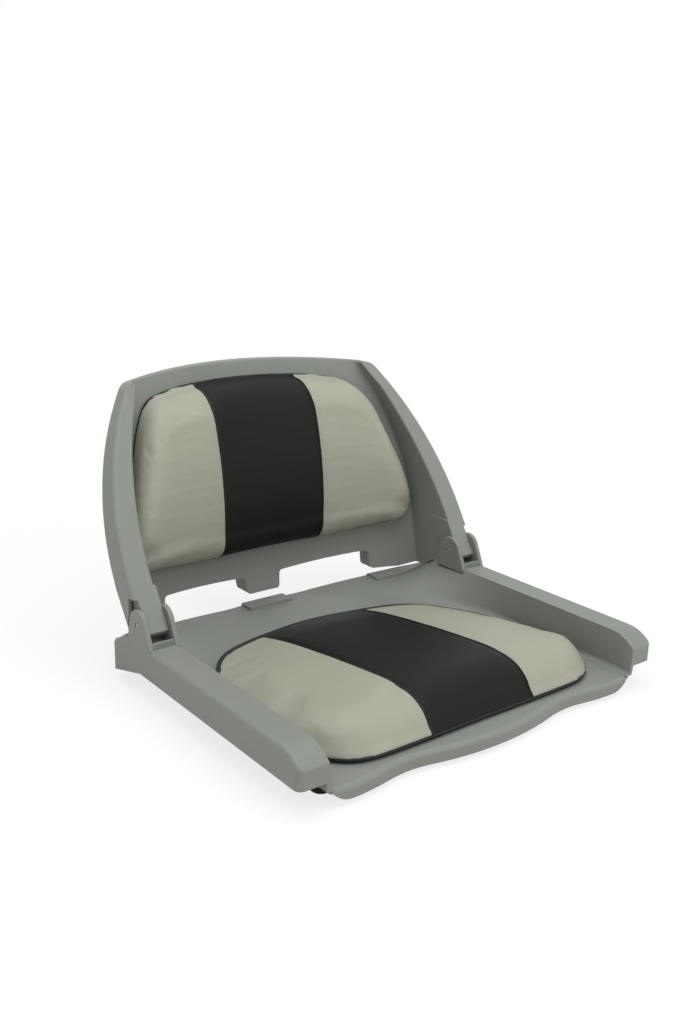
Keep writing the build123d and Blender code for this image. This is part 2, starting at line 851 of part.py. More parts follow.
with BuildPart() as back_frame:
    extrude(frame_outline(scoop_rear, 0), amount=scoop_depth)
    add(front_space, mode=Mode.SUBTRACT)
    # Rounded front edge, along the sides and the top
    front_face = back_frame.faces().filter_by(GeomType.PLANE).sort_by(Axis.Y)[0]
    outer_edges = front_face.edges().filter_by(
        lambda e: abs(e.center().X) > pan_half_width - arm_edge_round or e.center().Z > back_widest_z
    )
    fillet(outer_edges, back_edge_round)
    add(scoop.part, mode=Mode.SUBTRACT)
    # Softened edge between the front band and the scoop
    band_edges = back_frame.edges().filter_by(GeomType.ELLIPSE).filter_by(
        lambda e: abs(e.center().X) < ridge_x
        and e.center().Z > back_widest_z
        and abs(e.center().Y - stile_line(e.center().Z, 0)) < back_edge_round
    )
    fillet(band_edges, ridge_round)
    for side in sides:
        add(shoulder_space(side, 0), mode=Mode.SUBTRACT)
    add(rear_space.part, mode=Mode.SUBTRACT)
    # Clearance around the ears
    for space in ear_spaces:
        add(space, mode=Mode.SUBTRACT)
    for lug in lugs:
        add(lug)
    # Lower edge that follows the pan's rim at rest
    add(rim_space.part, mode=Mode.SUBTRACT)
    # Bores for the bushes and the pad's screws
    for plane in back_screw_planes:
        with BuildSketch(plane.offset(-2 * moulding_wall)):
            Circle(screw_radius + screw_gap)
        extrude(amount=back_board_thickness + 2 * moulding_wall, mode=Mode.SUBTRACT)
    add(pin_rod(-pan_width, pan_width, bush_radius), mode=Mode.SUBTRACT)
back_frame.part.label = "back_frame"
export_step(back_frame.part, "parts/back_frame.step")


def shares_at(rows, place):
    """Shares of a pad's section at a place across, on smooth curves that never overshoot."""
    places = [row[0] for row in rows]
    steps = [b - a for a, b in zip(places, places[1:])]
    index = sum(place > inner for inner in places[1:-1])
    t = (place - places[index]) / steps[index]
    values = []
    for item in range(1, len(rows[0])):
        rises = [(b[item] - a[item]) / step for a, b, step in zip(rows, rows[1:], steps)]
        slopes = [0]
        for before, after in zip(rises, rises[1:]):
            is_turning = before * after <= 0
            slopes.append(0 if is_turning else 2 * before * after / (before + after))
        slopes.append(rises[-1])
        values.append(
            (2 * t**3 - 3 * t**2 + 1) * rows[index][item]
            + (t**3 - 2 * t**2 + t) * steps[index] * slopes[index]
            + (3 * t**2 - 2 * t**3) * rows[index + 1][item]
            + (t**3 - t**2) * steps[index] * slopes[index + 1]
        )
    return values


def pad_stations(rows):
    """Places across a pad from its left to its right side, closer at the sides, with shares."""
    stations = []
    for step in range(-pad_station_count, pad_station_count + 1):
        place = sin(pi / 2 * step / pad_station_count)
        stations.append((place, shares_at(rows, abs(place))))
    return stations


def seat_pad(inset):
    """Solid of the seat pad, drawn in by a thickness on its top and sides."""
    half = seat_pad_half_width - inset
    length = seat_pad_rear - seat_pad_front
    with BuildPart() as pad:
        for place, shares in pad_stations(seat_pad_shares):
            front_share, rear_share, rise_share, nose_share = shares
            front_y = seat_pad_front + front_share * length + inset
            rear_y = seat_pad_rear - rear_share * length - inset
            rise = rise_share * seat_pad_rise - inset
            nose = nose_share * length
            base = pad_floor + seat_pad_edge * (1 - min(1, rise_share))
            edge = min(seat_pad_edge, rise / 2)
            foot = min(seat_pad_draw_in, (rear_y - front_y) * seat_pad_foot_share)
            with BuildSketch(Plane.YZ.offset(place * half)):
                with BuildLine():
                    bottom = Line(
                        (rear_y - foot / 2, base - inset),
                        (front_y + foot, base - inset),
                    )
                    front_edge = (front_y, base + edge)
                    Line(bottom @ 1, front_edge)
                    nose_top = (front_y + nose, base + rise)
                    ThreePointArc(
                        front_edge,
                        (front_y + nose * nose_mid_share, base + rise * nose_rise_share),
                        nose_top,
                    )
                    rear_top = (rear_y, base + edge)
                    middle = (
                        (nose_top[0] + rear_top[0]) / 2,
                        (nose_top[1] + rear_top[1]) / 2 + rise_share * seat_pad_crown,
                    )
                    ThreePointArc(nose_top, middle, rear_top)
                    Line(rear_top, bottom @ 0)
                make_face()
        loft()
    return pad.part


def back_pad(inset):
    """Solid of the back pad, drawn in by a thickness on its front and sides."""
    half = back_pad_half_width - inset
    length = back_pad_top - back_pad_bottom
    with BuildPart() as pad:
        for place, shares in pad_stations(back_pad_shares):
            low_share, high_share, depth_share, nose_share = shares
            x = place * half
            low_z = back_pad_bottom + low_share * length + inset
            high_z = back_pad_top - high_share * length - inset
            foot_nose = back_pad_foot_nose * nose_share
            head_nose = back_pad_head_nose * nose_share
            edge = back_pad_edge_depth * depth_share
            foot_depth = back_pad_foot_depth * depth_share - inset
            head_depth = back_pad_head_depth * depth_share - inset
            full_depth = back_pad_depth * depth_share - inset

            def at(z, depth):
                """Point of the section at a height and a depth in front of the panel."""
                panel = panel_y + panel_lean * (z - panel_z) - sag(panel_bow_radius, x)
                return (panel - depth, z)

            with BuildSketch(Plane.YZ.offset(x)):
                with BuildLine():
                    low_edge = at(low_z, edge)
                    foot_top = at(low_z + foot_nose, foot_depth)
                    ThreePointArc(
                        low_edge,
                        at(low_z + foot_nose * nose_mid_share, edge + (foot_depth - edge) * nose_rise_share),
                        foot_top,
                    )
                    head_low = at(high_z - head_nose, head_depth)
                    ThreePointArc(foot_top, at((low_z + high_z) / 2, full_depth), head_low)
                    high_edge = at(high_z, edge)
                    ThreePointArc(
                        head_low,
                        at(high_z - head_nose * nose_mid_share, edge + (head_depth - edge) * nose_rise_share),
                        high_edge,
                    )
                    Polyline(high_edge, at(high_z, -moulding_wall), at(low_z, -moulding_wall), low_edge)
                make_face()
        loft()
        add(panel_behind(-pad_gap), mode=Mode.SUBTRACT)
    return pad.part


def seam_band(side, rear_x, front_x, half_seam, height):
    """Plan of the strip along one seam, leaning a little outwards to the rear."""
    with BuildSketch(Plane.XY.offset(height)) as band:
        with BuildLine():
            Polyline(
                (side * front_x - half_seam, arm_front),
                (side * front_x + half_seam, arm_front),
                (side * rear_x + half_seam, scoop_rear),
                (side * rear_x - half_seam, scoop_rear),
                close=True,
            )
        make_face()
    return band.sketch


def cover_pieces(name, outer, raised, core, holes, rear_x, front_x):
    """Write the three panels of a cover and the two seams between them."""
    height = back_top_z + 2 * overrun
    seams = []
    for side in sides:
        with BuildPart() as seam:
            extrude(seam_band(side, rear_x, front_x, seam_width / 2, -overrun), amount=height)
        seams.append(seam.part)
    with BuildPart() as cover:
        add(outer)
        add(core, mode=Mode.SUBTRACT)
        for seam in seams:
            add(seam, mode=Mode.SUBTRACT)
        add(holes, mode=Mode.SUBTRACT)
    for piece, solid in zip(("left", "centre", "right"), cover.solids().sort_by(Axis.X)):
        solid.label = f"{name}_cover_{piece}"
        export_step(solid, f"parts/{name}_cover_{piece}.step")
    with BuildPart() as welts:
        for seam in seams:
            add(seam)
        add(raised, mode=Mode.INTERSECT)
        add(core, mode=Mode.SUBTRACT)
    welts.part.label = f"{name}_welts"
    export_step(welts.part, f"parts/{name}_welts.step")


def pad_fasteners(name, planes, board_thickness, core, board_space):
    """Write a pad's board, foam, screws and tee nuts, and give the holes they need."""
    board_top = pad_gap + board_thickness
    with BuildPart() as screws:
        for plane in planes:
            with BuildSketch(plane.offset(-moulding_wall - screw_head)):
                Circle(screw_head_radius)
            extrude(amount=screw_head)
            with BuildSketch(plane.offset(-moulding_wall)):
                Circle(screw_radius)
            extrude(amount=moulding_wall + board_top)
    screws.part.label = f"{name}_screws"
    export_step(screws.part, f"parts/{name}_screws.step")
    with BuildPart() as tnuts:
        for plane in planes:
            with BuildSketch(plane.offset(pad_gap)):
                Circle(tnut_radius)
            extrude(amount=board_thickness)
            with BuildSketch(plane.offset(board_top)):
                Circle(tnut_flange_radius)
            extrude(amount=tnut_flange)
        add(screws.part, mode=Mode.SUBTRACT)
    tnuts.part.label = f"{name}_tnuts"
    export_step(tnuts.part, f"parts/{name}_tnuts.step")
    with BuildPart() as holes:
        for plane in planes:
            with BuildSketch(plane.offset(-moulding_wall)):
                Circle(tnut_radius)
            extrude(amount=moulding_wall + board_top)
            with BuildSketch(plane.offset(board_top)):
                Circle(tnut_flange_radius)
            extrude(amount=tnut_flange)
    with BuildPart() as board:
        add(core)
        add(board_space, mode=Mode.INTERSECT)
        add(holes.part, mode=Mode.SUBTRACT)
    board.part.label = f"{name}_board"
    export_step(board.part, f"parts/{name}_board.step")
    with BuildPart() as foam:
        add(core)
        add(board_space, mode=Mode.SUBTRACT)
        add(holes.part, mode=Mode.SUBTRACT)
    foam.part.label = f"{name}_foam"
    export_step(foam.part, f"parts/{name}_foam.step")
    return holes.part


seat_outer = seat_pad(0)
with BuildPart() as seat_core:
    add(seat_pad(cover_thickness))
    add(seat_outer, mode=Mode.INTERSECT)
with BuildPart() as seat_board_space:
    with BuildSketch(Plane.XY.offset(-overrun)):
        Rectangle(2 * pan_width, 2 * pan_width)
    extrude(amount=overrun + pad_floor + seat_board_thickness)
seat_screw_planes = [Plane(origin=(x, y, tub_floor_top)) for x, y in seat_screw_places]
seat_holes = pad_fasteners(
    "seat", seat_screw_planes, seat_board_thickness, seat_core.part, seat_board_space.part
)
cover_pieces(
    "seat",
    seat_outer,
    seat_pad(-seam_height),
    seat_core.part,
    seat_holes,
    seat_seam_rear_x,
    seat_seam_front_x,
)

back_core = back_pad(cover_thickness)
back_holes = pad_fasteners(
    "back",
    back_screw_planes,
    back_board_thickness,
    back_core,
    panel_behind(-pad_gap - back_board_thickness),
)
cover_pieces(
    "back", back_pad(0), back_pad(-seam_height), back_core, back_holes, back_seam_x, back_seam_x
)
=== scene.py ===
"""Folding boat seat, dressed for a studio picture: moulded pan and back, two vinyl pads, hardware.

All places are in metres in the part's own frame: +X to the right seen from the front, the seat
faces -Y and +Z is up. The origin is the centre of the mounting holes under the pan.
"""
import logging
import math
from dataclasses import dataclass, field
from enum import Enum

import bpy
from mathutils import Matrix, Vector, noise


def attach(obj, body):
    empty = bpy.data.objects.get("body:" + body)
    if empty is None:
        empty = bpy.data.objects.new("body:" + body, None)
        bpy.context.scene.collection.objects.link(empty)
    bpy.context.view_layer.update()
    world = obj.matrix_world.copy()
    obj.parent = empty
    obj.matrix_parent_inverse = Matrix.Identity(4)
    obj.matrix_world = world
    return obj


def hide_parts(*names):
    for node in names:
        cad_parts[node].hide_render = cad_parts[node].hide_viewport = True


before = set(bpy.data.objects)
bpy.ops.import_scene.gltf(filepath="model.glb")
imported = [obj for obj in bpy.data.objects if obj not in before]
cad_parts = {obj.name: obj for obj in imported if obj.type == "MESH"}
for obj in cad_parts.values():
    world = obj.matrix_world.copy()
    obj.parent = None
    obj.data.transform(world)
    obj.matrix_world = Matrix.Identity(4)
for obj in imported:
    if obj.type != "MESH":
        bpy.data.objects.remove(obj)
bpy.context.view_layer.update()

log = logging.getLogger("boat_seat")
MM = 0.001

# Places of the colour sockets on Blender's Mix node
MIX_FIRST = 6
MIX_SECOND = 7
MIX_RESULT = 2
WHITE = "#ffffff"
# How far the back's panel leans to the rear for each unit of height
PANEL_LEAN = 0.22
# How close two points of the CAD meshes are to count as one
WELD_DISTANCE = 0.01 * MM


class Side(Enum):
    """The two sides of the seat, with the sign of X on each."""

    LEFT = -1
    RIGHT = 1


class Panel(Enum):
    """The three vinyl panels of a cover."""

    LEFT = "left"
    CENTRE = "centre"
    RIGHT = "right"


def linear(code: str) -> tuple[float, float, float, float]:
    """Turn an sRGB hex value into a linear colour.

    Args:
        code: Six hex digits, with or without a leading hash.

    Returns:
        Red, green, blue and alpha for a colour socket.
    """
    digits = code.lstrip("#")
    channels = [int(digits[i : i + 2], 16) / 255 for i in (0, 2, 4)]
    curved = [c / 12.92 if c <= 0.04045 else ((c + 0.055) / 1.055) ** 2.4 for c in channels]
    return (*curved, 1.0)


def add_node(
    material: bpy.types.Material | bpy.types.World,
    kind: str,
    values: dict[str | int, object] | None = None,
    links: dict[str | int, bpy.types.NodeSocket] | None = None,
    **settings: object,
) -> bpy.types.Node:
    """Add one shader node with its settings, socket values and links.

    Args:
        material: The material or world that holds the node.
        kind: Blender's name for the kind of node.
        values: Socket name or number to the value it is set to.
        links: Socket name or number to the output that feeds it.
        **settings: Properties of the node itself.

    Returns:
        The new node.
    """
    node = material.node_tree.nodes.new(kind)
    for name, setting in settings.items():
        setattr(node, name, setting)
    for name, value in (values or {}).items():
        node.inputs[name].default_value = value
    for name, source in (links or {}).items():
        material.node_tree.links.new(source, node.inputs[name])
    return node


def new_material(name: str) -> tuple[bpy.types.Material, bpy.types.Node]:
    """Make an empty node material.

    Args:
        name: The finish's name.

    Returns:
        The material and its Principled shader node.
    """
    material = bpy.data.materials.new(name)
    material.use_nodes = True
    shader = material.node_tree.nodes["Principled BSDF"]
    return material, shader


def two_tone(
    material: bpy.types.Material,
    first: str,
    second: str,
    share: bpy.types.NodeSocket,
) -> bpy.types.NodeSocket:
    """Mix two colours by a pattern.

    Args:
        material: The material.
        first: sRGB hex value where the pattern is low.
        second: sRGB hex value where it is high.
        share: The pattern's output.

    Returns:
        The mixed colour's output.
    """
    colours = add_node(
        material,
        "ShaderNodeMix",
        {MIX_FIRST: linear(first), MIX_SECOND: linear(second)},
        {0: share},
        data_type="RGBA",
    )
    return colours.outputs[MIX_RESULT]


def uneven_shine(
    material: bpy.types.Material,
    roughness: float,
    spread: tuple[float, float],
    share: bpy.types.NodeSocket,
) -> bpy.types.NodeSocket:
    """Vary a roughness a little by a pattern.

    Args:
        material: The material.
        roughness: The middle roughness.
        spread: What is added to it where the pattern is low and where it is high.
        share: The pattern's output.

    Returns:
        The roughness output.
    """
    shine = add_node(
        material,
        "ShaderNodeMapRange",
        {"To Min": roughness + spread[0], "To Max": roughness + spread[1]},
        {"Value": share},
    )
    return shine.outputs["Result"]


def connect(
    material: bpy.types.Material,
    shader: bpy.types.Node,
    colour: bpy.types.NodeSocket,
    roughness: bpy.types.NodeSocket,
    bump: bpy.types.Node,
) -> bpy.types.Material:
    """Feed colour, roughness and surface relief to a Principled shader.

    Args:
        material: The material.
        shader: Its Principled shader.
        colour: The colour output.
        roughness: The roughness output.
        bump: The last bump node.

    Returns:
        The material.
    """
    tree = material.node_tree
    tree.links.new(colour, shader.inputs["Base Color"])
    tree.links.new(roughness, shader.inputs["Roughness"])
    tree.links.new(bump.outputs["Normal"], shader.inputs["Normal"])
    return material


def select_only(*pieces: bpy.types.Object) -> None:
    """Deselect everything, then select these pieces and make the first one active.

    Args:
        *pieces: The pieces to select.
    """
    bpy.ops.object.select_all(action="DESELECT")
    for piece in pieces:
        piece.select_set(True)
    bpy.context.view_layer.objects.active = pieces[0]


def paint(piece: bpy.types.Object, material: bpy.types.Material) -> None:
    """Give a piece one material all over.

    Args:
        piece: The piece or CAD node.
        material: Its finish.
    """
    if not piece.material_slots:
        piece.data.materials.append(material)
    for place in piece.material_slots:
        place.material = material


def copy_nodes(name: str, *nodes: str) -> bpy.types.Object:
    """Copy the shapes of CAD nodes into one new, merged piece.

    Args:
        name: The new piece's name.
        *nodes: The CAD nodes whose shapes are copied.

    Returns:
        The new piece, with its place in its mesh.
    """
    copies = []
    for node in nodes:
        copy = bpy.data.objects.new(name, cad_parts[node].data.copy())
        bpy.context.scene.collection.objects.link(copy)
        copies.append(copy)
    select_only(*copies)
    if len(copies) > 1:
        bpy.ops.object.join()
    piece = bpy.context.view_layer.objects.active
    piece.name = name
    piece.data.materials.clear()
    bpy.ops.object.mode_set(mode="EDIT")
    bpy.ops.mesh.select_all(action="SELECT")
    bpy.ops.mesh.remove_doubles(threshold=WELD_DISTANCE)
    bpy.ops.mesh.customdata_custom_splitnormals_clear()
    bpy.ops.object.mode_set(mode="OBJECT")
    return piece


def duplicate(piece: bpy.types.Object, name: str) -> bpy.types.Object:
    """Copy a piece with its own mesh.

    Args:
        piece: The piece to copy.
        name: The copy's name.

    Returns:
        The copy.
    """
    copy = piece.copy()
    copy.data = piece.data.copy()
    copy.name = name
    bpy.context.scene.collection.objects.link(copy)
    return copy


def remove(piece: bpy.types.Object) -> None:
    """Take a helper piece out of the scene.

    Args:
        piece: The piece that is no longer needed.
    """
    bpy.data.objects.remove(piece)


def apply_modifier(piece: bpy.types.Object, kind: str, **settings: object) -> None:
    """Add a modifier to a piece and apply it.

    Args:
        piece: The piece.
        kind: Blender's name for the kind of modifier.
        **settings: The modifier's settings.
    """
    modifier = piece.modifiers.new(kind.title(), kind)
    for name, setting in settings.items():
        setattr(modifier, name, setting)
    select_only(piece)
    bpy.ops.object.modifier_apply(modifier=modifier.name)


def finish_piece(
    piece: bpy.types.Object,
    body: str,
    slot: str,
    material: bpy.types.Material,
    *nodes: str,
) -> bpy.types.Object:
    """Paint a piece, fix it to its body and let it stand for its CAD nodes.

    Args:
        piece: The finished piece.
        body: The CAD body it rides on.
        slot: A material slot's name; not used.
        material: Its finish.
        *nodes: The CAD nodes it stands for.

    Returns:
        The piece.
    """
    paint(piece, material)
    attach(piece, body)
    if nodes:
        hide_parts(*nodes)
    log.info("%s: %d faces on %s", piece.name, len(piece.data.polygons), body)
    return piece


@dataclass(frozen=True)
class MouldedPlastic:
    """Injection-moulded copolymer from a spark-eroded mould: an even satin with a faint pebble."""

    name: str = "moulded_copolymer"
    colour: str = "#80847e"
    flow_colour: str = "#7a7e78"
    flow_length: float = 70 * MM
    # The real mould texture is about 0.4 mm, too fine to show, so it is drawn coarser
    grain: float = 1.6 * MM
    grain_depth: float = 0.12 * MM
    grain_strength: float = 0.3
    grain_detail: float = 2.0
    flow_detail: float = 3.0
    flow_roughness: float = 0.6
    roughness: float = 0.48
    roughness_spread: tuple[float, float] = (-0.05, 0.07)
    specular: float = 0.3

    def material(self) -> bpy.types.Material:
        """Build the finish.

        Returns:
            The material.
        """
        material, shader = new_material(self.name)
        place = add_node(material, "ShaderNodeTexCoord")
        flow = add_node(
            material,
            "ShaderNodeTexNoise",
            {
                "Scale": 1 / self.flow_length,
                "Detail": self.flow_detail,
                "Roughness": self.flow_roughness,
            },
            {"Vector": place.outputs["Object"]},
        )
        pebble = add_node(
            material,
            "ShaderNodeTexNoise",
            {"Scale": 1 / self.grain, "Detail": self.grain_detail},
            {"Vector": place.outputs["Object"]},
        )
        bump = add_node(
            material,
            "ShaderNodeBump",
            {"Strength": self.grain_strength, "Distance": self.grain_depth},
            {"Height": pebble.outputs["Fac"]},
        )
        shader.inputs["Specular IOR Level"].default_value = self.specular
        share = flow.outputs["Fac"]
        colour = two_tone(material, self.flow_colour, self.colour, share)
        roughness = uneven_shine(material, self.roughness, self.roughness_spread, share)
        return connect(material, shader, colour, roughness, bump)


@dataclass(frozen=True)
class GrainedVinyl:
    """Marine upholstery vinyl with an embossed hide grain and faint cross creases."""

    name: str
    colour: str
    worn_colour: str
    roughness: float = 0.5
    specular: float = 0.25
    # The real hide grain is about 0.8 mm, too fine to show, so it is drawn coarser
    grain: float = 2.0 * MM
    grain_depth: float = 0.15 * MM
    grain_strength: float = 0.35
    grain_smoothness: float = 0.6
    crease_length: float = 60 * MM
    crease_width: float = 5 * MM
    crease_depth: float = 0.8 * MM
    crease_strength: float = 0.22
    crease_detail: float = 3.0
    crease_distortion: float = 0.6
    shade_detail: float = 4.0
    shade_roughness: float = 0.55
    roughness_spread: tuple[float, float] = (-0.06, 0.08)

    def material(self) -> bpy.types.Material:
        """Build the finish.

        Returns:
            The material.
        """
        material, shader = new_material(self.name)
        place = add_node(material, "ShaderNodeTexCoord")
        shade = add_node(
            material,
            "ShaderNodeTexNoise",
            {
                "Scale": 1 / self.crease_length,
                "Detail": self.shade_detail,
                "Roughness": self.shade_roughness,
            },
            {"Vector": place.outputs["Object"]},
        )
        hide = add_node(
            material,
            "ShaderNodeTexVoronoi",
            {"Scale": 1 / self.grain, "Smoothness": self.grain_smoothness},
            {"Vector": place.outputs["Object"]},
            feature="SMOOTH_F1",
        )
        stretch = add_node(
            material,
            "ShaderNodeMapping",
            {
                "Scale": (
                    1 / self.crease_length,
                    1 / self.crease_length,
                    1 / self.crease_width,
                )
            },
            {"Vector": place.outputs["Object"]},
        )
        crease = add_node(
            material,
            "ShaderNodeTexNoise",
            {
                "Scale": 1.0,
                "Detail": self.crease_detail,
                "Distortion": self.crease_distortion,
            },
            {"Vector": stretch.outputs["Vector"]},
        )
        creases = add_node(
            material,
            "ShaderNodeBump",
            {"Strength": self.crease_strength, "Distance": self.crease_depth},
            {"Height": crease.outputs["Fac"]},
        )
        grains = add_node(
            material,
            "ShaderNodeBump",
            {"Strength": self.grain_strength, "Distance": self.grain_depth},
            {"Height": hide.outputs["Distance"], "Normal": creases.outputs["Normal"]},
        )
        shader.inputs["Specular IOR Level"].default_value = self.specular
        share = shade.outputs["Fac"]
        colour = two_tone(material, self.worn_colour, self.colour, share)
        roughness = uneven_shine(material, self.roughness, self.roughness_spread, share)
        return connect(material, shader, colour, roughness, grains)


@dataclass(frozen=True)
class PlainStock:
    """A bought-in stock material, such as turned metal, rubber, nylon or plywood, whose dark stain
    also serves as painted shade.
    """

    name: str
    colour: str
    second_colour: str
    roughness: float
    metallic: float = 0.0
    # Size along X, Y and Z of the marks left by rolling, turning or sawing
    mark_size: tuple[float, float, float] = (4 * MM, 4 * MM, 4 * MM)
    mark_depth: float = 0.05 * MM
    mark_strength: float = 0.4
    mark_detail: float = 4.0
    mark_roughness: float = 0.6
    roughness_spread: tuple[float, float] = (-0.08, 0.08)

    def material(self) -> bpy.types.Material:
        """Build the finish.

        Returns:
            The material.
        """
        material, shader = new_material(self.name)
        place = add_node(material, "ShaderNodeTexCoord")
        stretch = add_node(
            material,
            "ShaderNodeMapping",
            {"Scale": tuple(1 / size for size in self.mark_size)},
            {"Vector": place.outputs["Object"]},
        )
        marks = add_node(
            material,
            "ShaderNodeTexNoise",
            {"Scale": 1.0, "Detail": self.mark_detail, "Roughness": self.mark_roughness},
            {"Vector": stretch.outputs["Vector"]},
        )
        share = marks.outputs["Fac"]
        bump = add_node(
            material,
            "ShaderNodeBump",
            {"Strength": self.mark_strength, "Distance": self.mark_depth},
            {"Height": share},
        )
        shader.inputs["Metallic"].default_value = self.metallic
        colour = two_tone(material, self.second_colour, self.colour, share)
        roughness = uneven_shine(material, self.roughness, self.roughness_spread, share)
        return connect(material, shader, colour, roughness, bump)


@dataclass
class Finishes:
    """Every finish of the seat, each built once."""

    plastic: bpy.types.Material = field(default_factory=lambda: MouldedPlastic().material())
    light_vinyl: bpy.types.Material = field(
        default_factory=lambda: GrainedVinyl("stone_vinyl", "#9c9c8e", "#949486").material()
    )
    dark_vinyl: bpy.types.Material = field(
        default_factory=lambda: GrainedVinyl(
            "charcoal_vinyl", "#191a17", "#151613", specular=0.12
        ).material()
    )
    piping: bpy.types.Material = field(
        default_factory=lambda: GrainedVinyl("black_piping", "#151513", "#121210").material()
    )
    steel: bpy.types.Material = field(
        default_factory=lambda: PlainStock(
            "turned_steel",
            "#a9aaa8",
            "#8f908e",
            roughness=0.3,
            metallic=1.0,
            mark_size=(8 * MM, 1 * MM, 1 * MM),
        ).material()
    )
    brass: bpy.types.Material = field(
        default_factory=lambda: PlainStock(
            "turned_brass",
            "#c9a75c",
            "#a98743",
            roughness=0.32,
            metallic=1.0,
            mark_size=(6 * MM, 6 * MM, 0.8 * MM),
            mark_depth=0.2 * MM,
        ).material()
    )
    rubber: bpy.types.Material = field(
        default_factory=lambda: PlainStock(
            "moulded_rubber", "#1f1f1e", "#191918", roughness=0.62
        ).material()
    )
    nylon: bpy.types.Material = field(
        default_factory=lambda: PlainStock(
            "nylon_bush", "#c9c8c0", "#bebdb4", roughness=0.38
        ).material()
    )
    # Near-black board: partly its own dark stain, partly painted shade, as its edge under the pads
    # stands for the dark shadow gap there
    board: bpy.types.Material = field(
        default_factory=lambda: PlainStock(
            "stained_plywood",
            "#1b1a18",
            "#12110f",
            roughness=0.7,
            mark_size=(40 * MM, 6 * MM, 1.2 * MM),
        ).material()
    )


@dataclass
class Mouldings:
    """The moulded pan and the moulded back, whose CAD shapes are right and stay."""

    finishes: Finishes
    nodes: tuple[str, ...] = ("seat_pan", "back_frame")

    def dress(self) -> None:
        """Give both mouldings their satin plastic."""
        for node in self.nodes:
            paint(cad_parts[node], self.finishes.plastic)
            log.info("%s: dressed in plastic", node)


